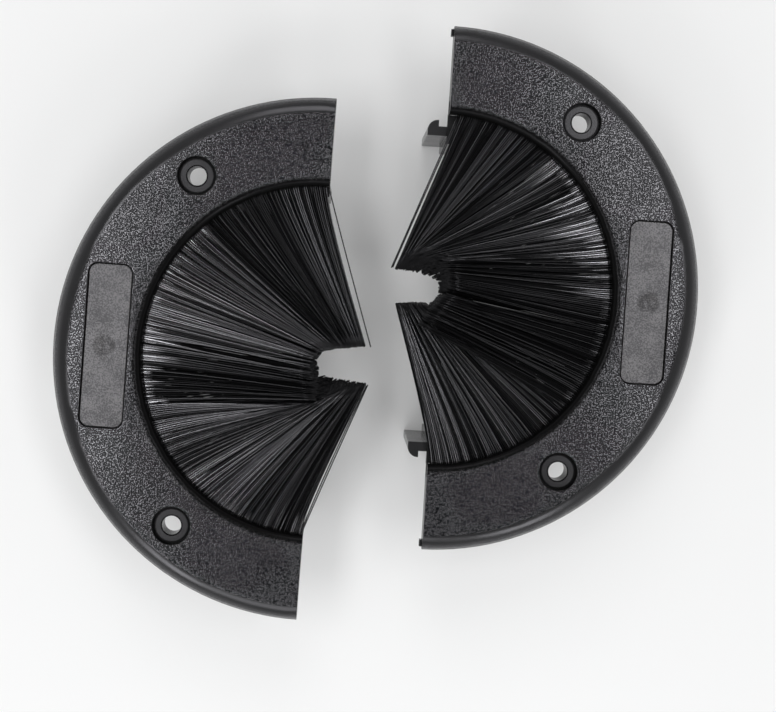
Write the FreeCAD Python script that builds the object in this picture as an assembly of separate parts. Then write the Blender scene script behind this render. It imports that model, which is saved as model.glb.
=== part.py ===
import FreeCAD, Part
import math
import os

from FreeCAD import Vector

# A split round brush grommet, lying open on a table as its two halves.
# Each half is a moulded frame that holds a strip brush: a folded steel channel,
# a core wire and the bristles that the wire clamps into the channel.
# Millimetres, +Z up, table at z = 0, origin midway between the two halves.

# Flange and collar
OPENING_R = 41.2
FLANGE_WIDTH = 20.8
FLANGE_HEIGHT = 6.5
FLANGE_SKIN = 2.0
SKIRT_WALL = 1.8
COLLAR_DEPTH = 28.0
COLLAR_WALL = 1.8
COLLAR_LEAD = 0.8
COLLAR_SETBACK = 2.4
LIP_ROUND = 1.7
RIM_WIDTH = 3.8
RIM_DROP = 2.8
RIM_BULGE = 0.7
ROUND_BANDS = 3
END_WALL = 1.6
RIB_WALL = 1.4
RIB_RELIEF = 0.4
RIB_ANGLES = (-75.0, -25.0, 0.0, 25.0, 75.0)

# Screw holes and their bosses
SCREW_FROM_RIM = 10.4
SCREW_ANGLE = 53.0
SCREW_HOLE_R = 2.25
COUNTERBORE_R = 4.4
COUNTERBORE_DEPTH = 1.1
BOSS_WALL = 2.8

# Bare label recess on the middle of each half
LABEL_FROM_RIM = 12.7
LABEL_WIDTH = 10.3
LABEL_LENGTH = 38.6
LABEL_CORNER_R = 2.3
LABEL_DEPTH = 0.4
DIMPLE_R = 2.4
DIMPLE_DEPTH = 0.2

# Snap hooks of one half and the catches of the other
HOOK_INSET = 4.45
HOOK_WALL = 2.2
HOOK_REACH = 4.6
BARB_LENGTH = 2.6
BARB_HEIGHT = 1.5
LEAD_LENGTH = 2.2
HOOK_PLATE = 1.5
HOOK_PLATE_MARGIN = 1.85
PLATE_PAST_OPENING = 0.8
PLATE_WEB = 1.6
SNAP_CLEARANCE = 0.2
HOOK_FOOT_GAP = 0.6

# Locating tabs on the split face and their pockets
TAB_FROM_RIM = 1.2
TAB_WIDTH = 1.6
TAB_HEIGHT = 1.6
TAB_REACH = 0.6
TAB_ABOVE_SEAT = 0.4
TAB_CLEARANCE = 0.15

# Strip brush and the groove that holds it
CHANNEL_DEPTH = 3.0
CHANNEL_HEIGHT = 3.2
CHANNEL_WALL = 0.5
CHANNEL_SETBACK = 0.3
CHANNEL_CLEARANCE = 0.15
STRIP_END_GAP = 0.4
GROOVE_WALL = 1.45
SHELF_WALL = 1.5
SHELF_SETBACK = 0.4
WIRE_R = 0.45
WIRE_SIDES = 6
WIRE_CLEARANCE = 0.05
BRISTLE_CLEARANCE = 0.15

# Bristle fan, one tapered tuft at a time, with the cable notch at its middle
ARM_TUFTS = 12
FLOOR_TUFTS = 16
FLOOR_ANGLE = 42.0
FAN_END_GAP = 0.75
ROOT_HEIGHT = 1.8
ARM_TIP_HEIGHT = 4.2
FLOOR_TIP_HEIGHT = 6.8
TUFT_GAP = 0.06
RIDGE_TILT = 20.0
NOTCH_FLOOR_X = 0.3
NOTCH_FLOOR_DEPTH = 1.0
NOTCH_HALF = 2.8
NOTCH_MOUTH_HALF = 4.05
MALE_ARM_REACH = (9.7, 10.7)
FEMALE_ARM_REACH = (12.7, 11.1)

# How the two halves lie on the table
LAY_APART_X = 27.73
LAY_APART_Y = 18.63
LAY_TWIST = -1.05

# Heights and radii that follow from the sizes above
SEAT_Z = COLLAR_DEPTH
TOP_Z = SEAT_Z + FLANGE_HEIGHT
SKIN_UNDER_Z = TOP_Z - FLANGE_SKIN
RIM_R = OPENING_R + FLANGE_WIDTH
CHANNEL_MOUTH_R = OPENING_R + CHANNEL_SETBACK
CHANNEL_BACK_R = CHANNEL_MOUTH_R + CHANNEL_DEPTH
GROOVE_R = CHANNEL_BACK_R + CHANNEL_CLEARANCE
COLLAR_R = GROOVE_R + GROOVE_WALL
GROOVE_FLOOR_Z = SKIN_UNDER_Z - CHANNEL_HEIGHT - 2 * CHANNEL_CLEARANCE
SHELF_UNDER_Z = GROOVE_FLOOR_Z - SHELF_WALL
BRUSH_Z = (SKIN_UNDER_Z + GROOVE_FLOOR_Z) / 2
WIRE_RING_R = CHANNEL_BACK_R - CHANNEL_WALL - WIRE_CLEARANCE - WIRE_R
ROOT_R = WIRE_RING_R - WIRE_R - BRISTLE_CLEARANCE
SCREW_CIRCLE_R = RIM_R - SCREW_FROM_RIM
BOSS_R = SCREW_HOLE_R + BOSS_WALL
HOOK_INNER_Y = OPENING_R - HOOK_INSET
HOOK_OUTER_Y = HOOK_INNER_Y + HOOK_WALL
BARB_Y = HOOK_OUTER_Y + BARB_HEIGHT
CATCH_WALL = HOOK_REACH - BARB_LENGTH - SNAP_CLEARANCE
CATCH_Y = HOOK_OUTER_Y + SNAP_CLEARANCE
COLLAR_MID_R = COLLAR_R - COLLAR_WALL / 2
PLATE_END_Y = OPENING_R + PLATE_PAST_OPENING

UP = Vector(0, 0, 1)
ORIGIN = Vector(0, 0, 0)


def block(x_range, y_range, z_range):
    """Return a box between pairs of limits given in either order."""
    low = Vector(min(x_range), min(y_range), min(z_range))
    high = Vector(max(x_range), max(y_range), max(z_range))
    size = high - low
    return Part.makeBox(size.x, size.y, size.z, low)


def at_angle(radius, degrees, z=0.0):
    """Return the point at a radius and angle from the middle of a half."""
    turn = math.radians(degrees)
    return Vector(radius * math.cos(turn), radius * math.sin(turn), z)


def lines(points):
    """Return the straight edges that join the points in order."""
    return [Part.LineSegment(a, b).toShape() for a, b in zip(points, points[1:])]


def outline_face(points):
    """Return the flat face inside the closed run of points."""
    return Part.Face(Part.Wire(lines(points + points[:1])))


def half_turn(profile, end_gap=0.0):
    """Turn a profile, drawn at -Y, through the half circle on the +X side."""
    radius = -profile.CenterOfMass.y
    gap_angle = math.degrees(end_gap / radius)
    started = profile.copy()
    started.rotate(ORIGIN, UP, gap_angle)
    return started.revolve(ORIGIN, UP, 180.0 - 2 * gap_angle)


def section_point(radius, z):
    """Return a point of a radial section in the plane where a half turn starts."""
    return Vector(0, -radius, z)


def frame_section():
    """Return the section of flange, skirt, brush groove, shelf and collar."""
    lip_low = section_point(OPENING_R, TOP_Z - LIP_ROUND)
    lip_top = section_point(OPENING_R + LIP_ROUND, TOP_Z)
    lip_bend = LIP_ROUND * (1 - math.sqrt(0.5))
    lip_mid = section_point(OPENING_R + lip_bend, TOP_Z - lip_bend)
    rim_top = section_point(RIM_R - RIM_WIDTH, TOP_Z)
    rim_low = section_point(RIM_R, TOP_Z - RIM_DROP)
    rim_chord = math.hypot(RIM_WIDTH, RIM_DROP)
    rim_mid = section_point(
        RIM_R - RIM_WIDTH / 2 + RIM_BULGE * RIM_DROP / rim_chord,
        TOP_Z - RIM_DROP / 2 + RIM_BULGE * RIM_WIDTH / rim_chord,
    )
    outline = Part.Arc(lip_low, lip_mid, lip_top).discretize(Number=round(ROUND_BANDS) + 1)
    outline += Part.Arc(rim_top, rim_mid, rim_low).discretize(Number=round(ROUND_BANDS) + 1)
    outline += [
        section_point(RIM_R, SEAT_Z),
        section_point(RIM_R - SKIRT_WALL, SEAT_Z),
        section_point(RIM_R - SKIRT_WALL, SKIN_UNDER_Z),
        section_point(COLLAR_R, SKIN_UNDER_Z),
        section_point(COLLAR_R, COLLAR_LEAD),
        section_point(COLLAR_R - COLLAR_LEAD, 0),
        section_point(COLLAR_R - COLLAR_WALL, 0),
        section_point(COLLAR_R - COLLAR_WALL, SHELF_UNDER_Z),
        section_point(OPENING_R + SHELF_SETBACK, SHELF_UNDER_Z),
        section_point(OPENING_R + SHELF_SETBACK, GROOVE_FLOOR_Z),
        section_point(GROOVE_R, GROOVE_FLOOR_Z),
        section_point(GROOVE_R, SKIN_UNDER_Z),
        section_point(OPENING_R, SKIN_UNDER_Z),
    ]
    return outline_face(outline)


def flange_supports():
    """Return the screw bosses, ribs and end walls under the flange."""
    supports = []
    boss_height = SKIN_UNDER_Z - SEAT_Z
    for side in (-1, 1):
        foot = at_angle(SCREW_CIRCLE_R, side * SCREW_ANGLE, SEAT_Z)
        supports.append(Part.makeCylinder(BOSS_R, boss_height, foot, UP))
        wall_y = (side * COLLAR_MID_R, side * (RIM_R - SKIRT_WALL / 2))
        supports.append(block((0, END_WALL), wall_y, (SEAT_Z, SKIN_UNDER_Z)))
    for angle in RIB_ANGLES:
        rib = block(
            (COLLAR_MID_R, RIM_R - SKIRT_WALL / 2),
            (-RIB_WALL / 2, RIB_WALL / 2),
            (SEAT_Z + RIB_RELIEF, SKIN_UNDER_Z),
        )
        rib.rotate(ORIGIN, UP, angle)
        supports.append(rib)
    return supports


def screw_cuts():
    """Return the through holes and their counterbores."""
    cuts = []
    for side in (-1, 1):
        seat = at_angle(SCREW_CIRCLE_R, side * SCREW_ANGLE, SEAT_Z)
        cuts.append(Part.makeCylinder(SCREW_HOLE_R, FLANGE_HEIGHT, seat, UP))
        floor = at_angle(SCREW_CIRCLE_R, side * SCREW_ANGLE, TOP_Z - COUNTERBORE_DEPTH)
        cuts.append(Part.makeCylinder(COUNTERBORE_R, COUNTERBORE_DEPTH, floor, UP))
    return cuts


def label_cuts():
    """Return the label recess and the shallow dimple in its floor."""
    middle_x = RIM_R - LABEL_FROM_RIM
    floor_z = TOP_Z - LABEL_DEPTH
    recess = block(
        (middle_x - LABEL_WIDTH / 2, middle_x + LABEL_WIDTH / 2),
        (-LABEL_LENGTH / 2, LABEL_LENGTH / 2),
        (floor_z, TOP_Z),
    )
    upright = [e for e in recess.Edges if abs(e.tangentAt(e.FirstParameter).z) > 0.5]
    recess = recess.makeFillet(LABEL_CORNER_R, upright)
    ball_r = (DIMPLE_R ** 2 + DIMPLE_DEPTH ** 2) / (2 * DIMPLE_DEPTH)
    ball = Part.makeSphere(ball_r, Vector(middle_x, 0, floor_z - DIMPLE_DEPTH + ball_r))
    cap = block(
        (middle_x - DIMPLE_R, middle_x + DIMPLE_R),
        (-DIMPLE_R, DIMPLE_R),
        (floor_z - DIMPLE_DEPTH, TOP_Z),
    )
    return [recess, ball.common(cap)]


def hook(side):
    """Return one snap hook, a plan drawn at one end and raised to the shelf."""
    back_x = BARB_LENGTH - HOOK_REACH
    lead_x = LEAD_LENGTH - HOOK_REACH
    lead_y = HOOK_OUTER_Y - HOOK_WALL / 2
    lead_rise = BARB_Y - lead_y

    def at(x, y):
        return Vector(x, side * y, HOOK_FOOT_GAP)

    barb_start = at(lead_x, BARB_Y)
    lead_mid = at(lead_x - LEAD_LENGTH * math.sqrt(0.5), lead_y + lead_rise * math.sqrt(0.5))
    tip_start = at(-HOOK_REACH, lead_y)
    run = [
        tip_start,
        at(-HOOK_REACH, HOOK_INNER_Y),
        at(HOOK_PLATE, HOOK_INNER_Y),
        at(HOOK_PLATE, HOOK_OUTER_Y),
        at(back_x, HOOK_OUTER_Y),
        at(back_x, BARB_Y),
        barb_start,
    ]
    edges = lines(run) + [Part.Arc(barb_start, lead_mid, tip_start).toShape()]
    plan = Part.Face(Part.Wire(edges))
    return plan.extrude(UP * (SHELF_UNDER_Z - HOOK_FOOT_GAP))


def end_plate(side, wall, inner_y, link_y, end_y):
    """Return the blocks of an end plate, tied back to the collar behind the split."""
    height = (HOOK_FOOT_GAP, SHELF_UNDER_Z)
    web_x = (COLLAR_SETBACK, COLLAR_SETBACK + PLATE_WEB)
    front = block((0, wall), (side * inner_y, side * end_y), height)
    link = block((0, web_x[1]), (side * link_y, side * end_y), height)
    web = block(web_x, (side * link_y, side * COLLAR_MID_R), height)
    return [front, link, web]


def hook_plate(side):
    """Return the end plate that carries a hook, with a ledge under the shelf."""
    inner_y = HOOK_INNER_Y - HOOK_PLATE_MARGIN
    link_y = HOOK_OUTER_Y - PLATE_WEB
    ledge = block(
        (0, COLLAR_SETBACK + PLATE_WEB),
        (side * inner_y, side * PLATE_END_Y),
        (SHELF_UNDER_Z - SHELF_WALL, SHELF_UNDER_Z),
    )
    return end_plate(side, HOOK_PLATE, inner_y, link_y, HOOK_OUTER_Y) + [ledge]


def catch_plate(side):
    """Return the end plate that a hook snaps behind."""
    return end_plate(side, CATCH_WALL, CATCH_Y, BARB_Y + SNAP_CLEARANCE, PLATE_END_Y)


def collar_end_cuts():
    """Return the cuts that set the collar's ends back from the split."""
    cuts = []
    for side in (-1, 1):
        reach_y = (side * PLATE_END_Y, side * (COLLAR_R + COLLAR_WALL))
        cuts.append(block((-COLLAR_WALL, COLLAR_SETBACK), reach_y, (-COLLAR_WALL, SHELF_UNDER_Z)))
    return cuts


def tab(side, clearance=0.0):
    """Return a locating tab, or its pocket when a clearance is given."""
    middle_y = side * (RIM_R - TAB_FROM_RIM)
    half = TAB_WIDTH / 2 + clearance
    low_z = SEAT_Z + TAB_ABOVE_SEAT - clearance
    high_z = SEAT_Z + TAB_ABOVE_SEAT + TAB_HEIGHT + clearance
    return block((-TAB_REACH - clearance, END_WALL / 2), (middle_y - half, middle_y + half), (low_z, high_z))


def moulding(additions, cuts):
    """Return a half's moulded frame with its own ends added and cut."""
    solid = half_turn(frame_section())
    solid = solid.fuse(flange_supports() + additions)
    solid = solid.cut(screw_cuts() + label_cuts() + collar_end_cuts() + cuts)
    return solid.removeSplitter()


def male_frame():
    """Return the moulded half with the hooks and tabs."""
    additions = []
    for side in (-1, 1):
        additions += hook_plate(side) + [hook(side), tab(side)]
    return moulding(additions, [])


def female_frame():
    """Return the moulded half with the catches and pockets."""
    catches = []
    pockets = []
    for side in (-1, 1):
        catches += catch_plate(side)
        pocket = tab(side, TAB_CLEARANCE)
        pockets.append(pocket.mirror(ORIGIN, Vector(1, 0, 0)))
    return moulding(catches, pockets)


def brush_channel():
    """Return the folded steel channel, a U that opens towards the middle."""
    high = BRUSH_Z + CHANNEL_HEIGHT / 2
    low = BRUSH_Z - CHANNEL_HEIGHT / 2
    floor_r = CHANNEL_BACK_R - CHANNEL_WALL
    outline = [
        section_point(CHANNEL_MOUTH_R, low),
        section_point(CHANNEL_BACK_R, low),
        section_point(CHANNEL_BACK_R, high),
        section_point(CHANNEL_MOUTH_R, high),
        section_point(CHANNEL_MOUTH_R, high - CHANNEL_WALL),
        section_point(floor_r, high - CHANNEL_WALL),
        section_point(floor_r, low + CHANNEL_WALL),
        section_point(CHANNEL_MOUTH_R, low + CHANNEL_WALL),
    ]
    return half_turn(outline_face(outline), STRIP_END_GAP)


def core_wire():
    """Return the wire in the back of the channel."""
    outline = []
    for corner in range(WIRE_SIDES):
        turn = 2 * math.pi * corner / WIRE_SIDES
        outline.append(section_point(WIRE_RING_R + WIRE_R * math.cos(turn), BRUSH_Z + WIRE_R * math.sin(turn)))
    return half_turn(outline_face(outline), STRIP_END_GAP)


def fan_stations(arm_reach):
    """Return root, tip and tip height at each boundary between two tufts.

    The lower arm, the floor of the notch and the upper arm follow each other.
    """
    end_angle = 90.0 - math.degrees(math.asin(FAN_END_GAP / ROOT_R))
    corner_x = NOTCH_FLOOR_X - NOTCH_FLOOR_DEPTH
    lower_reach, upper_reach = arm_reach
    stations = []

    def add(angle, tip_x, tip_y, height):
        stations.append((at_angle(ROOT_R, angle), Vector(tip_x, tip_y, 0), height))

    def add_arm(side, reach, share):
        angle = side * (end_angle + (FLOOR_ANGLE - end_angle) * share)
        tip_x = -reach + (corner_x + reach) * share
        tip_y = side * (NOTCH_MOUTH_HALF + (NOTCH_HALF - NOTCH_MOUTH_HALF) * share)
        add(angle, tip_x, tip_y, ARM_TIP_HEIGHT + (FLOOR_TIP_HEIGHT - ARM_TIP_HEIGHT) * share)

    for step in range(ARM_TUFTS):
        add_arm(-1, lower_reach, step / ARM_TUFTS)
    for step in range(FLOOR_TUFTS + 1):
        share = 2 * step / FLOOR_TUFTS - 1
        turn = math.radians(90.0 * share)
        tip_x = corner_x + NOTCH_FLOOR_DEPTH * math.cos(turn)
        add(FLOOR_ANGLE * share, tip_x, NOTCH_HALF * math.sin(turn), FLOOR_TIP_HEIGHT)
    for step in reversed(range(ARM_TUFTS)):
        add_arm(1, upper_reach, step / ARM_TUFTS)
    return stations


def tuft_plan(first, second):
    """Return the tall prism over one tuft's plan, clear of its neighbours."""
    corners = []
    for (root, tip, _), inward in ((first, 1), (second, -1)):
        along = (tip - root).normalize()
        shift = UP.cross(along) * (-inward * TUFT_GAP / 2)
        corners.append((root + shift, tip + shift))
    (root_a, tip_a), (root_b, tip_b) = corners
    face = outline_face([root_a, tip_a, tip_b, root_b])
    return face.extrude(UP * (TOP_Z + FLOOR_TIP_HEIGHT))


def ridge_wedge(root, tip, root_height, tip_height, tilt):
    """Return a wedge that thickens from root to tip, leaning sideways by tilt."""
    along = (tip - root).normalize()
    slope = (tip_height - root_height) / 2 / (tip - root).Length
    margin = FLANGE_WIDTH / 2
    lean = math.radians(tilt)
    across = (UP.cross(along) * math.cos(lean) + UP * math.sin(lean)) * margin
    start = root - along * root_height
    end = tip + along * tip_height
    start_half = root_height / 2 - slope * root_height
    end_half = tip_height / 2 + slope * tip_height
    corners = [
        start + UP * (BRUSH_Z - start_half),
        end + UP * (BRUSH_Z - end_half),
        end + UP * (BRUSH_Z + end_half),
        start + UP * (BRUSH_Z + start_half),
    ]
    face = outline_face(corners)
    face.translate(across * -1)
    return face.extrude(across * 2)


def tuft(first, second):
    """Return one tapered tuft with a ridge along its top and bottom."""
    root = (first[0] + second[0]) * 0.5
    tip = (first[1] + second[1]) * 0.5
    tip_height = (first[2] + second[2]) / 2
    solid = tuft_plan(first, second)
    for tilt in (RIDGE_TILT, -RIDGE_TILT):
        solid = solid.common(ridge_wedge(root, tip, ROOT_HEIGHT, tip_height, tilt))
    return solid.Solids[0]


def bristles(arm_reach):
    """Return a half's fan of bristles as a group of tufts."""
    stations = fan_stations(arm_reach)
    return Part.makeCompound([tuft(a, b) for a, b in zip(stations, stations[1:])])


def lay_male(shape):
    """Place a piece of the half with hooks, on the right."""
    laid = shape.copy()
    laid.translate(Vector(LAY_APART_X / 2, LAY_APART_Y / 2, 0))
    return laid


def lay_female(shape):
    """Place a piece of the half with catches, turned round on the left."""
    laid = shape.copy()
    laid.rotate(ORIGIN, UP, 180.0 + LAY_TWIST)
    laid.translate(Vector(-LAY_APART_X / 2, -LAY_APART_Y / 2, 0))
    return laid


def main():
    """Build both halves and write one file for each piece."""
    os.makedirs("parts", exist_ok=True)
    halves = (
        ("male", lay_male, male_frame(), MALE_ARM_REACH),
        ("female", lay_female, female_frame(), FEMALE_ARM_REACH),
    )
    for name, lay, frame, arm_reach in halves:
        pieces = {
            "frame": frame,
            "brush_channel": brush_channel(),
            "core_wire": core_wire(),
            "bristles": bristles(arm_reach),
        }
        for piece, shape in pieces.items():
            laid = lay(shape)
            laid.exportStep(f"parts/{name}_{piece}.step")
            print(name, piece, "solids", len(laid.Solids), "volume", round(laid.Volume, 1), laid.isValid())


main()
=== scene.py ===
"""Dress the split brush grommet: grained mouldings, steel strips and loose nylon bristles.

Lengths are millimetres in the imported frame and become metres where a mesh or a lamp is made.
Half-local places have x to the right and y up as the halves lie, from the middle of each split.
"""

import logging
import math
from dataclasses import dataclass
from enum import Enum

import bpy
import numpy as np
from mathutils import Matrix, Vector

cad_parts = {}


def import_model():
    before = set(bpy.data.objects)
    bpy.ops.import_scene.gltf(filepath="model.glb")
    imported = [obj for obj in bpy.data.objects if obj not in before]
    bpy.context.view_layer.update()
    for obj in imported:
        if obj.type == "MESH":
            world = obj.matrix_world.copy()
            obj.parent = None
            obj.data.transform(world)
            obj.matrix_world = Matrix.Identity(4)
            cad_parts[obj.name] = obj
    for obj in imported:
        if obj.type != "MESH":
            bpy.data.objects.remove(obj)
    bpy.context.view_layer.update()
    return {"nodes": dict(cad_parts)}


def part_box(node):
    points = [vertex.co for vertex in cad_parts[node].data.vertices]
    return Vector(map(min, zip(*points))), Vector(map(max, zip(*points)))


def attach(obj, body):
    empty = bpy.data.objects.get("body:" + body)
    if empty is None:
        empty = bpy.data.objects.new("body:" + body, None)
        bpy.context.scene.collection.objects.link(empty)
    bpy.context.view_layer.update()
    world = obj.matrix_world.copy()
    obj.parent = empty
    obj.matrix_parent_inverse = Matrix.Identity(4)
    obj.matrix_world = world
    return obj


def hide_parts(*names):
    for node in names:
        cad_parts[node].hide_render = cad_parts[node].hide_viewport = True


LOG = logging.getLogger("grommet")
BODY = "root"
MM = 0.001
PER_METRE = 1000.0
IMAGE_WIDTH_PX = 776
SENSOR_WIDTH_MM = 36.0
FEMALE_TURN_DEG = -1.05
MALE_SEED = 11
FEMALE_SEED = 29

Point = tuple[float, float]
Range = tuple[float, float]
Colour = tuple[float, float, float]
ORIGIN: Point = (0.0, 0.0)
RISE: Range = (0.0, 1.0)
FALL: Range = (1.0, 0.0)
MOST_NOISE: Range = (0.3, 0.7)


class Side(Enum):
    """The two halves, named as their nodes are."""

    MALE = "male"
    FEMALE = "female"


class Zone(Enum):
    """The pieces of a half, named as their nodes are."""

    FRAME = "frame"
    CHANNEL = "brush_channel"
    WIRE = "core_wire"
    BRISTLES = "bristles"


class MathStep(Enum):
    """Sums that the finishes do on their node sockets."""

    ADD = "ADD"
    SUBTRACT = "SUBTRACT"
    MULTIPLY = "MULTIPLY"
    MAXIMUM = "MAXIMUM"
    ABSOLUTE = "ABSOLUTE"
    LENGTH = "LENGTH"


@dataclass(frozen=True)
class FlangeSizes:
    """Sizes of the moulding that the finishes follow.

    Args:
        top: height of the flange's face.
        rim_r: outer radius of the flange.
        flange_width: from the rim to the inner lip.
        flange_height: from the face to the foot of the skirt.
        lip_width: width of the rounded inner lip.
        rim_width: width of the rounded rim.
        label_r: how far the label recess lies from the half's middle.
        label_size: width and length of the recess.
        label_corner: radius of the recess's corners.
        screw_r: how far the screws lie from the half's middle.
        screw_deg: how far they are turned from the half's axis.
        counterbore_r: radius of the counterbores.
        hole_r: radius of the screw holes.
        brush_below_top: from the face to the middle of the strip brush.
        root_behind_lip: from the lip to where the bristles are clamped.
    """

    top: float
    rim_r: float
    flange_width: float = 20.8
    flange_height: float = 6.5
    lip_width: float = 1.9
    rim_width: float = 3.8
    label_r: float = 49.3
    label_size: Point = (10.3, 38.6)
    label_corner: float = 2.3
    screw_r: float = 51.6
    screw_deg: float = 53.0
    counterbore_r: float = 4.4
    hole_r: float = 2.25
    brush_below_top: float = 3.75
    root_behind_lip: float = 1.7

    @property
    def opening_r(self) -> float:
        """Radius of the flange's inner lip."""
        return self.rim_r - self.flange_width

    @property
    def screw_place(self) -> Point:
        """Place of a screw from the half's middle, both parts counted positive."""
        turn = math.radians(self.screw_deg)
        return (self.screw_r * math.cos(turn), self.screw_r * math.sin(turn))

    @property
    def brush_z(self) -> float:
        """Height of the middle of the strip brush."""
        return self.top - self.brush_below_top

    @property
    def root_r(self) -> float:
        """Radius on which the bristles are clamped."""
        return self.opening_r + self.root_behind_lip

    @classmethod
    def from_frame(cls) -> "FlangeSizes":
        """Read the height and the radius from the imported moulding."""
        low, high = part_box(node_name(Side.MALE, Zone.FRAME))
        return cls(top=high.z * PER_METRE, rim_r=(high.y - low.y) / 2 * PER_METRE)


@dataclass(frozen=True)
class HalfPlace:
    """Where one half lies and which way its bristle roots face.

    Args:
        side: which half it is.
        middle: middle of the half's split.
        turn_deg: how far the half is turned on the table.
        facing: 1 where the roots lie to the right of the split, -1 to the left.
    """

    side: Side
    middle: Point
    turn_deg: float
    facing: int

    def to_world(self, local: np.ndarray) -> np.ndarray:
        """Turn half-local places into places in the frame.

        Args:
            local: array of points, the last axis being x, y, z.

        Returns:
            The same points in the frame.
        """
        turn = math.radians(self.turn_deg)
        x = local[..., 0] * math.cos(turn) - local[..., 1] * math.sin(turn) + self.middle[0]
        y = local[..., 0] * math.sin(turn) + local[..., 1] * math.cos(turn) + self.middle[1]
        return np.stack([x, y, local[..., 2]], axis=-1)

    @classmethod
    def from_frame(cls, side: Side, sizes: FlangeSizes) -> "HalfPlace":
        """Find a half's middle from the box of its moulding.

        Args:
            side: which half to find.
            sizes: sizes of the moulding.

        Returns:
            The half's place.
        """
        low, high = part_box(node_name(side, Zone.FRAME))
        middle_y = high.y * PER_METRE - sizes.rim_r
        if side is Side.MALE:
            return cls(side, (high.x * PER_METRE - sizes.rim_r, middle_y), 0.0, 1)
        return cls(side, (low.x * PER_METRE + sizes.rim_r, middle_y), FEMALE_TURN_DEG, -1)


def node_name(side: Side, zone: Zone) -> str:
    """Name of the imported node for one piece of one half."""
    return f"{side.value}_{zone.value}"


class NodeDesk:
    """Short calls for the nodes that the finishes and the room share."""

    line_core: float = 0.4
    mix_colours: tuple[int, int] = (6, 7)
    mix_result: int = 2

    def __init__(self, tree: bpy.types.NodeTree) -> None:
        """Work on a node tree."""
        self.tree = tree

    def fill(self, target: bpy.types.NodeSocket, value: object) -> None:
        """Link a socket to an input, or set the input to a plain value.

        Args:
            target: the input to fill.
            value: value or socket.
        """
        if isinstance(value, bpy.types.NodeSocket):
            self.tree.links.new(value, target)
        else:
            target.default_value = value

    def add(self, kind: str, **inputs: object) -> bpy.types.Node:
        """Add a node and fill its inputs.

        Args:
            kind: Blender's node type.
            inputs: values or sockets, by input name with underscores for spaces.

        Returns:
            The new node.
        """
        node = self.tree.nodes.new(kind)
        for name, value in inputs.items():
            self.fill(node.inputs[name.replace("_", " ")], value)
        return node

    def sum(self, step: MathStep, first: object, *others: object) -> bpy.types.NodeSocket:
        """Do one sum on numbers, from the first to the last.

        Args:
            step: the sum to do.
            first: value or socket.
            others: further values or sockets, none for a sum on one number.

        Returns:
            The socket of the result.
        """
        for other in others or (0.0,):
            node = self.tree.nodes.new("ShaderNodeMath")
            node.operation = step.value
            self.fill(node.inputs[0], first)
            self.fill(node.inputs[1], other)
            first = node.outputs[0]
        return first

    def product(self, *values: object) -> bpy.types.NodeSocket:
        """Multiply several values or sockets."""
        return self.sum(MathStep.MULTIPLY, *values)

    def vector(
        self, step: MathStep, first: object, second: object = (0.0, 0.0, 0.0)
    ) -> bpy.types.NodeSocket:
        """Do one sum on places.

        Args:
            step: the sum to do.
            first: place or socket.
            second: place or socket.

        Returns:
            The socket of the result, a number for a length.
        """
        node = self.tree.nodes.new("ShaderNodeVectorMath")
        node.operation = step.value
        self.fill(node.inputs[0], first)
        self.fill(node.inputs[1], second)
        return node.outputs["Value" if step is MathStep.LENGTH else "Vector"]

    def flat_distance(self, places: object, middle: Point = ORIGIN) -> bpy.types.NodeSocket:
        """Distance from an upright axis.

        Args:
            places: socket of places.
            middle: where the axis stands.

        Returns:
            The socket of the distance.
        """
        offset = self.vector(MathStep.SUBTRACT, places, (*middle, 0.0))
        return self.vector(MathStep.LENGTH, self.vector(MathStep.MULTIPLY, offset, (1.0, 1.0, 0.0)))

    def part(self, places: object, axis: str) -> bpy.types.NodeSocket:
        """One part of a socket of places."""
        return self.add("ShaderNodeSeparateXYZ", Vector=places).outputs[axis]

    def step(
        self, value: object, start: float, end: float, low: float = 0.0, high: float = 1.0
    ) -> bpy.types.NodeSocket:
        """Ease from one value to another as a socket passes between two limits.

        Args:
            value: the socket to follow.
            start: where the change starts.
            end: where the change ends.
            low: result before the start.
            high: result after the end.

        Returns:
            The socket of the result.
        """
        node = self.tree.nodes.new("ShaderNodeMapRange")
        node.interpolation_type = "SMOOTHSTEP"
        for index, item in enumerate((value, start, end, low, high)):
            self.fill(node.inputs[index], item)
        return node.outputs[0]

    def fade(self, value: object, edge: float, reach: Range, ends: Range = RISE) -> bpy.types.NodeSocket:
        """Ease between two ends over a reach that is counted from an edge."""
        return self.step(value, edge + reach[0], edge + reach[1], *ends)

    def line(self, value: object, middle: float, half: float) -> bpy.types.NodeSocket:
        """Mark a soft line where a socket is close to a middle.

        Args:
            value: the socket to follow.
            middle: value at the middle of the line.
            half: half the line's width.

        Returns:
            The socket of the mark, 1 on the line.
        """
        away = self.sum(MathStep.ABSOLUTE, self.sum(MathStep.SUBTRACT, value, middle))
        return self.step(away, half * self.line_core, half, *FALL)

    def blend(self, share: object, first: object, second: object) -> bpy.types.NodeSocket:
        """Mix two colours.

        Args:
            share: how much of the second colour to take.
            first: colour or socket.
            second: colour or socket.

        Returns:
            The socket of the mixed colour.
        """
        node = self.tree.nodes.new("ShaderNodeMix")
        node.data_type = "RGBA"
        self.fill(node.inputs[0], share)
        for index, item in zip(self.mix_colours, (first, second)):
            linked = isinstance(item, bpy.types.NodeSocket)
            self.fill(node.inputs[index], item if linked else (*item, 1.0))
        return node.outputs[self.mix_result]

    def noise(self, places: object, cell: float, detail: float = 2.0) -> bpy.types.NodeSocket:
        """Cloudy noise.

        Args:
            places: socket of places in millimetres.
            cell: size of one cloud.
            detail: how many finer layers it holds.

        Returns:
            The socket of the noise, about 0 to 1.
        """
        return self.add("ShaderNodeTexNoise", Vector=places, Scale=1.0 / cell, Detail=detail).outputs[0]


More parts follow.
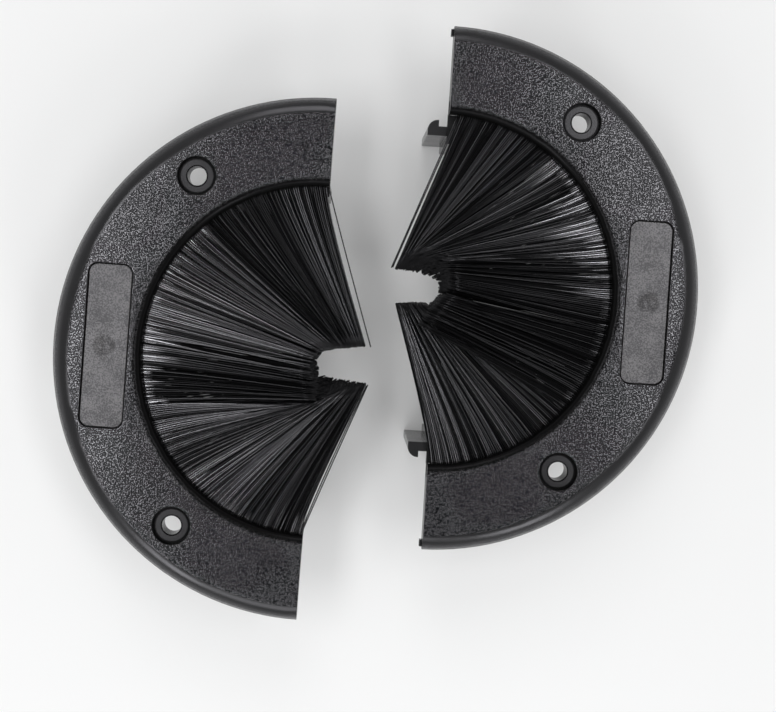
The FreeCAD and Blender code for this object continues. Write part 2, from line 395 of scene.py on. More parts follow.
class FinishDesk(NodeDesk):
    """A new material, its shader and the nodes that only materials use."""

    edge_samples: int = 4

    def __init__(self, name: str) -> None:
        """Start a material with its own principled shader.

        Args:
            name: name of the material.
        """
        self.material = bpy.data.materials.new(name)
        self.material.use_nodes = True
        super().__init__(self.material.node_tree)
        self.shader = self.tree.nodes["Principled BSDF"]

    def places(self, middle: Point = ORIGIN, turn_deg: float = 0.0) -> bpy.types.NodeSocket:
        """Places in millimetres.

        Args:
            middle: where their origin lies in the frame.
            turn_deg: how far their axes are turned.

        Returns:
            The socket of the places.
        """
        source = self.tree.nodes.new("ShaderNodeTexCoord")
        node = self.add("ShaderNodeMapping", Vector=source.outputs["Object"])
        node.vector_type = "TEXTURE"
        node.inputs["Location"].default_value = (middle[0] * MM, middle[1] * MM, 0.0)
        node.inputs["Rotation"].default_value = (0.0, 0.0, math.radians(turn_deg))
        node.inputs["Scale"].default_value = (MM, MM, MM)
        return node.outputs[0]

    def relief(self, height: object, depth: float, below: object = None) -> bpy.types.NodeSocket:
        """Bump of a stated depth.

        Args:
            height: socket of the relief, 0 to 1.
            depth: real depth of the relief.
            below: socket of the normal that the relief lies on.

        Returns:
            The socket of the new normal.
        """
        node = self.add("ShaderNodeBump", Height=height, Strength=1.0, Distance=depth * MM)
        if below is not None:
            self.fill(node.inputs["Normal"], below)
        return node.outputs[0]

    def soft_edges(self, radius: float) -> bpy.types.NodeSocket:
        """Round the sharp edges of a piece to the eye.

        Args:
            radius: radius of the rounding.

        Returns:
            The socket of the new normal.
        """
        node = self.add("ShaderNodeBevel", Radius=radius * MM)
        node.samples = self.edge_samples
        return node.outputs[0]

    def dress(self, **inputs: object) -> bpy.types.Material:
        """Fill the shader's inputs and hand over the material.

        Args:
            inputs: values or sockets, by input name with underscores for spaces.

        Returns:
            The finished material.
        """
        for name, value in inputs.items():
            self.fill(self.shader.inputs[name.replace("_", " ")], value)
        return self.material


@dataclass(frozen=True)
class FaceMarks:
    """Sockets that mark parts of a moulding, 0 to 1.

    Args:
        grain: where the pebbles lie.
        recess: floor of the label recess.
        dent: the same floor, less its dimple.
        painted_shade: painted shade in the crevices, round the label, in the counterbores and on the inner
            lip, where colour and gloss are darkened.
    """

    grain: bpy.types.NodeSocket
    recess: bpy.types.NodeSocket
    dent: bpy.types.NodeSocket
    painted_shade: bpy.types.NodeSocket


@dataclass(frozen=True)
class GrainedPlastic:
    """Black moulding plastic: pebbled face, plain rounds and walls, a greyer label recess, and painted
    shade that darkens and dulls the crevices, the label's outline, the counterbore rings and the inner
    lip.

    The fields from face_fade on say where a mark fades, counted from the edge that it follows.
    """

    body: Colour = (0.002, 0.002, 0.0025)
    crest: Colour = (0.02, 0.02, 0.022)
    plain: Colour = (0.016, 0.016, 0.0165)
    label: Colour = (0.134, 0.13, 0.132)
    label_dark: Colour = (0.03, 0.029, 0.03)
    # Colour of the painted shade in the crevices, round the label, in the counterbores and on the inner
    # lip.
    painted_shade_colour: Colour = (0.003, 0.003, 0.003)
    tint: Colour = (0.955, 0.945, 1.0)
    pebble: float = 0.32
    pebble_detail: float = 0.5
    pebble_slope: Range = (0.41, 0.67)
    pebble_depth: float = 0.02
    pebble_gloss: Range = (0.4, 2.8)
    # Gloss outside the painted shade, and inside it.
    gloss_dimmed_in_shade: Range = (0.5, 0.08)
    fine: float = 0.22
    fine_share: float = 0.1
    fleck: float = 0.34
    fleck_share: float = 0.7
    cloud: float = 5.0
    cloud_share: float = 0.3
    mottle: Range = (0.38, 0.64)
    rough_cloud: float = 7.0
    rough: Range = (0.21, 0.26)
    recess_rough: float = 0.08
    edge_round: float = 0.16
    dent_r: float = 3.2
    dent_depth: float = 0.28
    face_fade: Range = (-3.2, -2.6)
    lip_fade: Range = (-1.3, 0.4)
    lip_shade: Range = (-0.7, 0.5)
    rim_fade: Range = (-0.15, 0.2)
    edge_fade: Range = (-1.6, -1.0)
    edge_grain: Range = (0.0, 0.35)
    bore_fade: Range = (0.05, 0.3)
    label_fade: Range = (0.0, 0.25)
    recess_fade: Range = (-0.3, -0.1)
    ring_fade: Range = (-1.4, -1.2)
    split_fade: Range = (0.03, 0.08)
    split_foot: Range = (-0.6, -0.5)
    outline_half: float = 0.22
    counterbore_inset: float = 0.2
    counterbore_half: float = 0.6
    hole_outset: float = 0.1
    hole_half: float = 0.3

    def build(self, place: HalfPlace, sizes: FlangeSizes) -> bpy.types.Material:
        """Make the finish for one half.

        Args:
            place: where the half lies.
            sizes: sizes of its moulding.

        Returns:
            The material.
        """
        desk = FinishDesk(f"{place.side.value}_grained_plastic")
        places = desk.places(place.middle, place.turn_deg)
        marks = self.mark(desk, places, sizes)
        pebbles = desk.step(desk.noise(places, self.pebble, self.pebble_detail), *self.pebble_slope)
        fine = desk.product(desk.noise(places, self.fine), self.fine_share)
        relief = desk.sum(MathStep.ADD, desk.product(pebbles, marks.grain), fine)
        normal = desk.relief(marks.dent, self.dent_depth, desk.soft_edges(self.edge_round))
        normal = desk.relief(relief, self.pebble_depth, normal)
        clouds = desk.product(desk.noise(places, self.cloud), self.cloud_share)
        flecks = desk.product(desk.noise(places, self.fleck), self.fleck_share)
        mottle = desk.step(desk.sum(MathStep.ADD, clouds, flecks), *self.mottle)
        colour = desk.blend(marks.grain, self.plain, desk.blend(pebbles, self.body, self.crest))
        colour = desk.blend(marks.recess, colour, desk.blend(mottle, self.label_dark, self.label))
        # Painted shade: colour darkens in the crevices, round the label, in the counterbores and on the
        # inner lip.
        colour = desk.blend(marks.painted_shade, colour, self.painted_shade_colour)
        rough = desk.step(desk.noise(places, self.rough_cloud), *MOST_NOISE, *self.rough)
        rough = desk.sum(MathStep.ADD, rough, desk.product(marks.recess, self.recess_rough))
        # Gloss is dimmed in the same painted shade.
        gloss_dimmed_in_shade = desk.step(marks.painted_shade, *RISE, *self.gloss_dimmed_in_shade)
        shiny = desk.product(gloss_dimmed_in_shade, desk.step(pebbles, *RISE, *self.pebble_gloss), marks.grain)
        quiet = desk.product(gloss_dimmed_in_shade, desk.sum(MathStep.SUBTRACT, 1.0, marks.grain))
        gloss = desk.sum(MathStep.ADD, shiny, quiet)
        desk.dress(Base_Color=colour, Roughness=rough, Normal=normal)
        return desk.dress(Specular_IOR_Level=gloss, Specular_Tint=(*self.tint, 1.0))

    def mark(self, desk: NodeDesk, places: object, sizes: FlangeSizes) -> FaceMarks:
        """Mark the parts of a moulding that differ in finish, and where shade is painted.

        Args:
            desk: where the nodes go.
            places: socket of places from the half's middle.
            sizes: sizes of the moulding.

        Returns:
            The marks.
        """
        folded = desk.vector(MathStep.ABSOLUTE, places)
        height = desk.part(places, "Z")
        radius = desk.flat_distance(places)
        bore = desk.flat_distance(folded, sizes.screw_place)
        label = self.label_distance(desk, folded, sizes)
        lip_end = sizes.opening_r + sizes.lip_width
        face = desk.fade(height, sizes.top, self.face_fade)
        grain = desk.product(
            face,
            desk.fade(radius, lip_end, self.lip_fade),
            desk.sum(
                MathStep.MAXIMUM,
                desk.fade(radius, sizes.rim_r - sizes.rim_width, self.rim_fade, FALL),
                desk.fade(radius, sizes.rim_r, self.edge_fade, self.edge_grain),
            ),
            desk.fade(bore, sizes.counterbore_r, self.bore_fade),
            desk.step(label, *self.label_fade),
        )
        recess = desk.product(face, desk.step(label, *self.recess_fade, *FALL))
        middle = desk.flat_distance(folded, (sizes.label_r, 0.0))
        dent = desk.product(desk.step(middle, 0.0, self.dent_r), recess)
        # The marks from here on are painted shade: a dark line round the label recess, dark rings at the
        # counterbore walls and round the holes, the split edge and the inner lip.
        outline = desk.product(face, desk.line(label, 0.0, self.outline_half))
        ring = desk.product(
            desk.fade(height, sizes.top, self.ring_fade),
            desk.sum(
                MathStep.MAXIMUM,
                desk.line(bore, sizes.counterbore_r - self.counterbore_inset, self.counterbore_half),
                desk.line(bore, sizes.hole_r + self.hole_outset, self.hole_half),
            ),
        )
        split = desk.product(
            desk.step(desk.part(folded, "X"), *self.split_fade, *FALL),
            desk.fade(height, sizes.top - sizes.flange_height, self.split_foot),
        )
        lip = desk.product(face, desk.fade(radius, lip_end, self.lip_shade, FALL))
        painted_shade = desk.sum(MathStep.MAXIMUM, split, outline, ring, lip)
        return FaceMarks(grain, recess, dent, painted_shade)

    @staticmethod
    def label_distance(desk: NodeDesk, folded: object, sizes: FlangeSizes) -> bpy.types.NodeSocket:
        """Distance from the outline of the label recess.

        Args:
            desk: where the nodes go.
            folded: socket of places with both parts counted positive.
            sizes: sizes of the moulding.

        Returns:
            The socket of the distance, negative inside.
        """
        corner = sizes.label_corner
        offset = desk.vector(MathStep.SUBTRACT, folded, (sizes.label_r, 0.0, 0.0))
        core = (sizes.label_size[0] / 2 - corner, sizes.label_size[1] / 2 - corner, 1.0)
        beyond = desk.vector(MathStep.SUBTRACT, desk.vector(MathStep.ABSOLUTE, offset), core)
        outside = desk.vector(MathStep.MAXIMUM, beyond, (0.0, 0.0, 0.0))
        return desk.sum(MathStep.SUBTRACT, desk.flat_distance(outside), corner)


@dataclass(frozen=True)
class ZincSteel:
    """Bright zinc on rolled steel, with faint drawing marks along the strip."""

    body: Colour = (0.5, 0.5, 0.51)
    dull: Colour = (0.36, 0.36, 0.37)
    spangle: float = 2.2
    rough: Range = (0.28, 0.42)
    mark_width: float = 1 / 9
    mark_depth: float = 0.01
    edge_round: float = 0.1

    def build(self, place: HalfPlace) -> bpy.types.Material:
        """Make the finish for one half.

        Args:
            place: where the half lies.

        Returns:
            The material.
        """
        desk = FinishDesk(f"{place.side.value}_zinc_steel")
        places = desk.places(place.middle, place.turn_deg)
        radius = desk.flat_distance(places)
        marks = desk.add("ShaderNodeTexNoise", Scale=1.0 / self.mark_width, Detail=2.0)
        marks.noise_dimensions = "1D"
        desk.fill(marks.inputs["W"], radius)
        clouds = desk.noise(places, self.spangle)
        colour = desk.blend(clouds, self.body, self.dull)
        rough = desk.step(clouds, *MOST_NOISE, *self.rough)
        normal = desk.relief(marks.outputs[0], self.mark_depth, desk.soft_edges(self.edge_round))
        return desk.dress(Base_Color=colour, Metallic=1.0, Roughness=rough, Normal=normal)


@dataclass(frozen=True)
class DrawnNylon:
    """Black nylon filament, glossy along the draw and a little different from one to the next, with light
    and shade painted on through each bristle's shade value: paler and glossier in painted glints and
    sheen, darker and duller in painted shade.
    """

    dark: Colour = (0.0015, 0.0015, 0.0017)
    pale: Colour = (0.012, 0.012, 0.0125)
    tint: Colour = (0.955, 0.945, 1.0)
    painted_light_name: str = "shade"
    scuff: float = 1.5
    rough: Range = (0.18, 0.26)
    dull_until: float = 0.15
    dull: float = 0.45
    glossy_from: float = 1.6
    gloss: Range = (0.02, 2.4)
    ior: float = 1.9
    ripple: float = 0.3
    ripple_depth: float = 0.003

    def build(self, name: str) -> bpy.types.Material:
        """Make the finish.

        Args:
            name: name of the material.

        Returns:
            The material.
        """
        desk = FinishDesk(name)
        source = desk.tree.nodes.new("ShaderNodeAttribute")
        source.attribute_name = self.painted_light_name
        shade = source.outputs["Fac"]
        places = desk.places()
        # Painted light and shade: colour, roughness and gloss follow the painted shade value, pale and
        # glossy at painted glints and sheen, dark and dull in painted shade.
        colour = desk.blend(shade, self.dark, self.pale)
        scuffs = desk.step(desk.noise(places, self.scuff), *MOST_NOISE, *self.rough)
        rough = desk.sum(MathStep.ADD, scuffs, desk.step(shade, 0.0, self.dull_until, self.dull, 0.0))
        gloss = desk.step(shade, 0.0, self.glossy_from, *self.gloss)
        normal = desk.relief(desk.noise(places, self.ripple), self.ripple_depth)
        desk.dress(Base_Color=colour, Roughness=rough, Normal=normal, IOR=self.ior)
        return desk.dress(Specular_IOR_Level=gloss, Specular_Tint=(*self.tint, 1.0))


@dataclass(frozen=True)
class PaleTable:
    """A plain pale table top with a faint cloudiness, a little paler to the eye than to the light: it
    glows to the eye, less close to the grommet as painted shade and more far off as painted light.
    """

    body: Colour = (0.725, 0.728, 0.728)
    cloud: Colour = (0.7, 0.702, 0.704)
    cloud_size: float = 60.0
    rough: float = 0.6
    pore: float = 0.8
    pore_depth: float = 0.01
    near_glow: Range = (0.1, 0.195)
    near_reach: Range = (20.0, 90.0)
    far_glow: float = 0.4
    far_reach: float = 1400.0

    def build(self) -> bpy.types.Material:
        """Make the finish.

        Returns:
            The material.
        """
        desk = FinishDesk("pale_table")
        places = desk.places()
        colour = desk.blend(desk.noise(places, self.cloud_size), self.body, self.cloud)
        normal = desk.relief(desk.noise(places, self.pore), self.pore_depth)
        sight = desk.tree.nodes.new("ShaderNodeLightPath").outputs
        rays = [sight[f"Is {kind} Ray"] for kind in ("Camera", "Glossy", "Transmission")]
        seen = desk.sum(MathStep.MAXIMUM, *rays)
        away = desk.flat_distance(places)
        # Painted shade and light: the table glows least close to the grommet and more with distance.
        near = desk.step(away, *self.near_reach, *self.near_glow)
        far = desk.step(away, 0.0, self.far_reach, 0.0, self.far_glow)
        painted_glow = desk.product(seen, desk.sum(MathStep.ADD, near, far))
        desk.dress(Emission_Color=(1.0, 1.0, 1.0, 1.0), Emission_Strength=painted_glow)
        return desk.dress(Base_Color=colour, Roughness=self.rough, Normal=normal)


@dataclass(frozen=True)
class BristleGroup:
    """One sweep of bristles, from a stretch of the root arc to a cut face at the notch.

    Args:
        roots_deg: first and last root angle, from the middle of the half and up.
        low_tips: line of the cut ends at the bottom of the pile, half-local.
        high_tips: line of the cut ends at the top of the pile, half-local.
        tip_heights: height of the lowest and highest ends, from the middle of the brush.
        lift: how late the bristles rise or sink to the height of their ends, 1 being straight.
        stiff: share of their length over which they leave the strip straight.
        shine: strength of the painted glints at the roots, and of the painted sheen along the first and
            the last bristle.
        glint: shortest and longest painted glint at the roots.
    """

    roots_deg: Range
    low_tips: tuple[Point, ...]
    high_tips: tuple[Point, ...]
    tip_heights: Range
    lift: float = 1.6
    stiff: float = 0.17
    shine: tuple[float, float, float] = (0.5, 0.5, 0.5)
    glint: Range = (1.5, 5.0)


@dataclass(frozen=True)
class StrayBristle:
    """A single bristle that stands off from the rest.

    Args:
        root: where it is clamped, half-local.
        bend: where it bends, half-local.
        tip: where it ends, half-local.
        tip_height: height of its end, from the middle of the brush.
    """

    root: Point
    bend: Point
    tip: Point
    tip_height: float = 0.0


# In both halves, each group's shine paints its glints and sheen, and so how light or dark the group looks.
MALE_GROUPS = (
    BristleGroup(
        roots_deg=(85.6, 52.0),
        low_tips=((-10.3, 4.4), (-5.5, 3.9)),
        high_tips=((-10.1, 4.8), (-6.0, 8.5)),
        tip_heights=(-2.3, 1.0),
        stiff=0.06,
        shine=(0.3, 0.5, 0.55),
    ),
    BristleGroup(
        roots_deg=(52.0, 12.0),
        low_tips=((-5.5, 3.9), (-2.8, 3.3), (0.0, 2.0)),
        high_tips=((-6.0, 8.5), (-2.4, 8.9), (1.6, 7.3)),
        tip_heights=(-2.4, 2.2),
        lift=2.0,
        shine=(1.6, 0.65, 0.55),
        glint=(0.5, 17.0),
    ),
    BristleGroup(
        roots_deg=(12.0, -10.0),
        low_tips=((0.0, 2.0), (0.4, 0.2), (0.3, -0.7)),
        high_tips=((1.9, 6.9), (2.4, 0.3)),
        tip_heights=(-2.2, 2.6),
        lift=1.4,
        shine=(0.85, 0.42, 0.3),
        glint=(0.2, 14.0),
    ),
    BristleGroup(
        roots_deg=(-10.0, -40.0),
        low_tips=((0.3, -1.0), (-0.6, -2.3), (-1.6, -3.0)),
        high_tips=((2.3, 0.0), (-2.4, -5.6), (-4.5, -8.8)),
        tip_heights=(-1.8, 3.2),
        lift=1.1,
        shine=(0.6, 0.3, 0.3),
        glint=(0.5, 3.0),
    ),
    BristleGroup(
        roots_deg=(-40.0, -88.6),
        low_tips=((-2.4, -3.2), (-6.0, -3.3), (-9.7, -3.8)),
        high_tips=((-2.8, -3.6), (-6.0, -3.6), (-9.6, -3.9)),
        tip_heights=(-2.6, 0.4),
        shine=(0.2, 0.5, 1.0),
        glint=(0.5, 3.0),
    ),
)
FEMALE_GROUPS = (
    BristleGroup(
        roots_deg=(88.6, 46.0),
        low_tips=((11.3, 4.4), (4.4, 3.3)),
        high_tips=((11.1, 4.6), (4.2, 3.8)),
        tip_heights=(-2.3, 1.2),
        shine=(0.3, 0.8, 0.36),
    ),
    BristleGroup(
        roots_deg=(46.0, 9.0),
        low_tips=((4.4, 3.3), (1.2, 2.3), (0.1, 0.3)),
        high_tips=((4.2, 3.8), (0.5, 3.0), (-1.5, 0.3)),
        tip_heights=(-2.5, 1.9),
        lift=1.8,
        shine=(1.5, 0.85, 1.05),
        glint=(1.0, 8.0),
    ),
    BristleGroup(
        roots_deg=(9.0, -19.0),
        low_tips=((0.0, 0.1), (0.8, -2.3)),
        high_tips=((-1.5, 0.0), (-0.8, -5.0), (1.1, -10.6)),
        tip_heights=(-1.8, 3.0),
        lift=1.0,
        shine=(2.0, 0.65, 0.4),
        glint=(1.5, 10.0),
    ),
    BristleGroup(
        roots_deg=(-19.0, -88.6),
        low_tips=((1.3, -3.0), (3.4, -3.7), (12.1, -4.5)),
        high_tips=((1.1, -10.8), (5.7, -6.9), (12.1, -4.6)),
        tip_heights=(-2.6, 0.6),
        shine=(0.8, 1.5, 0.42),
        glint=(0.8, 8.0),
    ),
)
MALE_STRAYS = (
    StrayBristle((2.5, 42.2), (-4.5, 23.2), (-11.3, 4.6)),
    StrayBristle((2.9, 42.2), (-4.1, 23.4), (-11.0, 4.7), 0.4),
)
FEMALE_STRAYS = (
    StrayBristle((-0.5, 42.2), (2.1, 33.8), (12.6, 4.4)),
    StrayBristle((-0.7, -42.2), (3.4, -30.0), (12.6, -4.6)),
    StrayBristle((-0.9, -42.2), (3.0, -29.0), (12.3, -4.8), 0.5),
)


@dataclass(frozen=True)
class RootRow:
    """How the bristles of a group stand in the strip, with one entry a bristle.

    Args:
        line: whether it lies on top and shows as a line.
        share: where it is rooted, as a share of the group.
        layer: where it lies in the pile, 1 being the top.
        dive: how far its end sinks.
        lock: the lock that it belongs to.
        edges: edges of the locks, as shares of the group.
        arc: length of the group's root arc.
    """

    line: np.ndarray
    share: np.ndarray
    layer: np.ndarray
    dive: np.ndarray
    lock: np.ndarray
    edges: np.ndarray
    arc: float


@dataclass
class BristleFan:
    """All the loose bristles of one half, in one mesh of thin closed tubes, with glints, sheen and shade
    painted on each.

    Args:
        place: where the half lies.
        sizes: sizes of its moulding.
        groups: its sweeps of bristles.
        strays: its bristles that stand off.
        seed: start of the unevenness.
        count: how many bristles the sweeps have.
        radius: radius of a bristle.
        sides: sides of its tube.
        spans: lengthwise parts of its tube.
        root_detail: how far these crowd towards the root, 1 being even.
        root_spread: half the height of the roots in the strip.
        straight_end: share of its length over which a bristle ends straight.
        lock_width: width of a lock at the roots.
        lock_evenness: how alike the locks are in width.
        lock_shift: sideways spread of the locks' ends.
        lock_lift: upward spread of the locks' ends.
        lock_dome: how far the sides of a lock lie below its middle.
        gather: share by which the ends of a lock draw together.
        bow: sideways spread of the locks' bends.
        side_spread: sideways spread of single bristles.
        cut_spread: spread of their lengths.
        per_line: how many bristles there are to each one on top.
        line_layer: where in the pile the top ones lie.
        bed_top: where in the pile the others end.
        dives: how far the ends of the top ones sink.
        loose_share: share of the top ones that cross others.
        loose_shift: how far these cross, as a share of the cut line.
        line_sheen: least and most painted sheen of the top ones.
        line_skew: how far these keep to the least.
        bed_sheen: least and most painted sheen of the others, which stay dark as painted shade.
        clump_width: width over which the sheen swells and fades.
        clump_sheen: least and most of that swell.
        glint_spread: least and most length of a painted glint, as a share of its lock's.
        glint_fade: share of its length over which a glint dies away.
        glint_skew: how far the glints keep to faint ones.
        tip_fade: share of the painted sheen that is lost towards the end, as painted shade.
        cut_sheen: sheen of the cut end.
        cut_fade: how close to the end that sheen keeps.
        stray_shade: painted sheen of the bristles that stand off.
    """

    place: HalfPlace
    sizes: FlangeSizes
    groups: tuple[BristleGroup, ...]
    strays: tuple[StrayBristle, ...]
    seed: int
    count: int = 1500
    radius: float = 0.16
    sides: int = 5
    spans: int = 11
    root_detail: float = 1.5
    root_spread: float = 0.7
    straight_end: float = 0.17
    lock_width: float = 1.6
    lock_evenness: float = 3.0
    lock_shift: float = 0.12
    lock_lift: float = 0.1
    lock_dome: float = 0.1
    gather: float = 0.1
    bow: float = 0.12
    side_spread: float = 0.07
    cut_spread: float = 0.1
    per_line: int = 6
    line_layer: Range = (0.9, 1.0)
    bed_top: float = 0.78
    dives: tuple[float, ...] = (0.0, 0.5, 0.9)
    loose_share: float = 0.12
    loose_shift: float = 0.12
    line_sheen: Range = (0.1, 1.0)
    line_skew: float = 1.2
    bed_sheen: Range = (0.0, 0.14)
    clump_width: float = 3.5
    clump_sheen: Range = (0.6, 0.95)
    glint_spread: Range = (0.35, 1.3)
    glint_fade: float = 0.5
    glint_skew: float = 1.6
    tip_fade: float = 0.15
    cut_sheen: float = 0.24
    cut_fade: float = 14.0
    stray_shade: float = 0.3

    def arc_point(self, angle: np.ndarray) -> np.ndarray:
        """Half-local places on the root arc.

        Args:
            angle: root angles in degrees.

        Returns:
            Places with x and y.
        """
        turn = np.radians(angle)
        across = self.place.facing * self.sizes.root_r * np.cos(turn)
        return np.stack([across, self.sizes.root_r * np.sin(turn)], axis=-1)

    @staticmethod
    def along(line: tuple[Point, ...], share: np.ndarray) -> np.ndarray:
        """Places at shares of a broken line.

        Args:
            line: corners of the line.
            share: shares of its length, 0 to 1.

        Returns:
            Places with x and y.
        """
        corners = np.array(line)
        steps = np.linalg.norm(np.diff(corners, axis=0), axis=1)
        marks = np.concatenate([[0.0], np.cumsum(steps)]) / steps.sum()
        return np.stack([np.interp(share, marks, corners[:, axis]) for axis in (0, 1)], axis=-1)

    def root_row(self, group: BristleGroup, count: int, draw: np.random.Generator) -> RootRow:
        """Set the bristles of one group in the strip.

        Args:
            group: the group to set.
            count: how many bristles it has.
            draw: seeded source of the unevenness.

        Returns:
            How they stand.
        """
        order = np.arange(count)
        line = order % self.per_line == 0
        share = (order + draw.uniform(0, 1, count)) / count
        layer = np.where(line, draw.uniform(*self.line_layer, count), draw.uniform(0, self.bed_top, count))
        dive = np.where(line, np.array(self.dives)[draw.permutation(order) % len(self.dives)], 0.0)
        arc = math.radians(abs(group.roots_deg[1] - group.roots_deg[0])) * self.sizes.root_r
        edges = np.cumsum(draw.gamma(self.lock_evenness, 1.0, max(2, round(arc / self.lock_width))))
        edges = np.concatenate([[0.0], edges / edges[-1]])
        lock = np.clip(np.searchsorted(edges, share) - 1, 0, len(edges) - 2)
        return RootRow(line, share, layer, dive, lock, edges, arc)

    def group_paths(
        self, group: BristleGroup, count: int, draw: np.random.Generator
    ) -> tuple[np.ndarray, np.ndarray]:
        """Lay the bristles of one group.

        Args:
            group: the group to lay.
            count: how many bristles it has.
            draw: seeded source of the unevenness.

        Returns:
            Half-local places, bristle by span by x, y, z, and the painted light and shade at each place.
        """
        row = self.root_row(group, count, draw)
        start, end = group.roots_deg
        root = self.arc_point(start + (end - start) * row.share)
        lock, locks = row.lock, len(row.edges)
        middle = (row.edges[lock] + row.edges[lock + 1]) / 2
        within = (row.share - middle) * 2 / (row.edges[lock + 1] - row.edges[lock])
        shift = draw.normal(0, self.lock_shift, locks)[lock] + draw.normal(0, self.side_spread, count)
        lift = draw.normal(0, self.lock_lift, locks)[lock] - self.lock_dome * within ** 2
        bow = draw.normal(0, self.bow, locks)[lock] + draw.normal(0, self.side_spread, count)
        reach = np.linalg.norm(np.array(group.low_tips[-1]) - np.array(group.low_tips[0]))
        loose = row.line & (draw.uniform(0, 1, count) < self.loose_share)
        astray = np.where(loose, draw.normal(0, self.loose_shift, count), 0.0)
        cut = np.clip(row.share + (middle - row.share) * self.gather + shift / reach + astray, 0, 1)
        low = self.along(group.low_tips, cut)
        high = self.along(group.high_tips, cut)
        tip = low + (high - low) * row.layer[:, None]
        along = tip - root
        length = np.linalg.norm(along, axis=1, keepdims=True)
        along = along / length
        across = np.stack([-along[:, 1], along[:, 0]], axis=-1)
        tip = tip + along * draw.normal(0, self.cut_spread, count)[:, None]
        inward = -root / self.sizes.root_r
        near = root + inward * length * group.stiff
        far = tip - along * length * self.straight_end + across * bow[:, None]
        t = np.linspace(0, 1, self.spans + 1)[None, :, None] ** self.root_detail
        flat = (
            root[:, None] * (1 - t) ** 3
            + near[:, None] * 3 * t * (1 - t) ** 2
            + far[:, None] * 3 * t ** 2 * (1 - t)
            + tip[:, None] * t ** 3
        )
        bottom, top = group.tip_heights
        root_z = (row.layer * 2 - 1) * self.root_spread
        tip_z = bottom + (top - bottom) * row.layer + lift - row.dive
        rise = t[..., 0] ** group.lift
        z = self.sizes.brush_z + root_z[:, None] + (tip_z - root_z)[:, None] * rise
        away = np.linalg.norm(flat - root[:, None], axis=-1) - self.sizes.root_behind_lip
        shade = self.group_shade(group, row, away, t[..., 0], draw)
        return np.concatenate([flat, z[..., None]], axis=-1), shade

    def group_shade(
        self, group: BristleGroup, row: RootRow, away: np.ndarray, t: np.ndarray, draw: np.random.Generator
    ) -> np.ndarray:
        """Paint the glints, sheen and shade of one group's bristles.

        Args:
            group: the group to shade.
            row: how its bristles stand in the strip.
            away: flat distance of each place from the lip.
            t: how far along its bristle each place is, 0 to 1.
            draw: seeded source of the unevenness.

        Returns:
            The painted light and shade at each place, bristle by span.
        """
        count = len(row.share)
        faint, full = self.line_sheen
        single = faint + (full - faint) * draw.uniform(0, 1, count) ** self.line_skew
        knots = max(2, round(row.arc / self.clump_width))
        clump = np.interp(row.share, np.linspace(0, 1, knots), draw.uniform(*self.clump_sheen, knots))
        # The top bristles get a painted sheen; those below get little, as painted shade.
        sheen = np.where(row.line, single * clump, draw.uniform(*self.bed_sheen, count))
        # Painted glints near the roots, each dying away over its own length.
        spot = draw.uniform(*group.glint, len(row.edges))[row.lock]
        spot = spot * draw.uniform(*self.glint_spread, count)
        flash = draw.uniform(0, 1, (count, 1)) ** self.glint_skew
        glint = np.clip((1 - away / spot[:, None]) / self.glint_fade, 0, 1) * flash
        root_gloss, first_gloss, last_gloss = group.shine
        sheen = sheen * (first_gloss + (last_gloss - first_gloss) * row.share)
        # The painted sheen fades towards the tips as painted shade.
        shade = np.maximum(sheen[:, None] * (1 - self.tip_fade * t ** 2), glint * root_gloss)
        return np.maximum(shade, self.cut_sheen * t ** self.cut_fade)

    def stray_path(self, stray: StrayBristle) -> np.ndarray:
        """Lay a single bristle that stands off.

        Args:
            stray: the bristle to lay.

        Returns:
            Half-local places, span by x, y, z.
        """
        t = np.linspace(0, 1, self.spans + 1)[:, None]
        root, bend, tip = (np.array(point) for point in (stray.root, stray.bend, stray.tip))
        flat = root * (1 - t) ** 2 + bend * 2 * t * (1 - t) + tip * t ** 2
        z = self.sizes.brush_z + stray.tip_height * t
        return np.concatenate([flat, z], axis=-1)

    def paths(self) -> tuple[np.ndarray, np.ndarray]:
        """Lay every bristle of the half.

        Returns:
            Half-local places, bristle by span by x, y, z, and the painted light and shade at each place.
        """
        draw = np.random.default_rng(self.seed)
        spread = sum(abs(group.roots_deg[1] - group.roots_deg[0]) for group in self.groups)
        laid = []
        for group in self.groups:
            share = abs(group.roots_deg[1] - group.roots_deg[0]) / spread
            laid.append(self.group_paths(group, round(self.count * share), draw))
        plain = np.full((1, self.spans + 1), self.stray_shade)
        laid += [(self.stray_path(stray)[None], plain) for stray in self.strays]
        return np.concatenate([path for path, _ in laid]), np.concatenate([shade for _, shade in laid])

    def build(self) -> bpy.types.Object:
        """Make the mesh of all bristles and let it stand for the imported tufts.

        Returns:
            The piece.
        """
        paths, shades = self.paths()
        name = f"{self.place.side.value}_filaments"
        mesh = tube_mesh(name, self.place.to_world(paths) * MM, self.radius * MM, self.sides)
        # The painted glints, sheen and shade go on the mesh as a value at each point.
        shade = np.repeat(shades.ravel(), self.sides)
        attribute = mesh.attributes.new(DrawnNylon.painted_light_name, "FLOAT", "POINT")
        attribute.data.foreach_set("value", shade.astype(np.float32))
        piece = add_piece(name, mesh)
        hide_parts(node_name(self.place.side, Zone.BRISTLES))
        LOG.info("%s: %d bristles, %d faces", name, len(paths), len(mesh.polygons))
        return piece

    def dress(self, piece: bpy.types.Object) -> None:
        """Give the bristles their nylon."""
        piece.data.materials.append(DrawnNylon().build(f"{self.place.side.value}_nylon"))


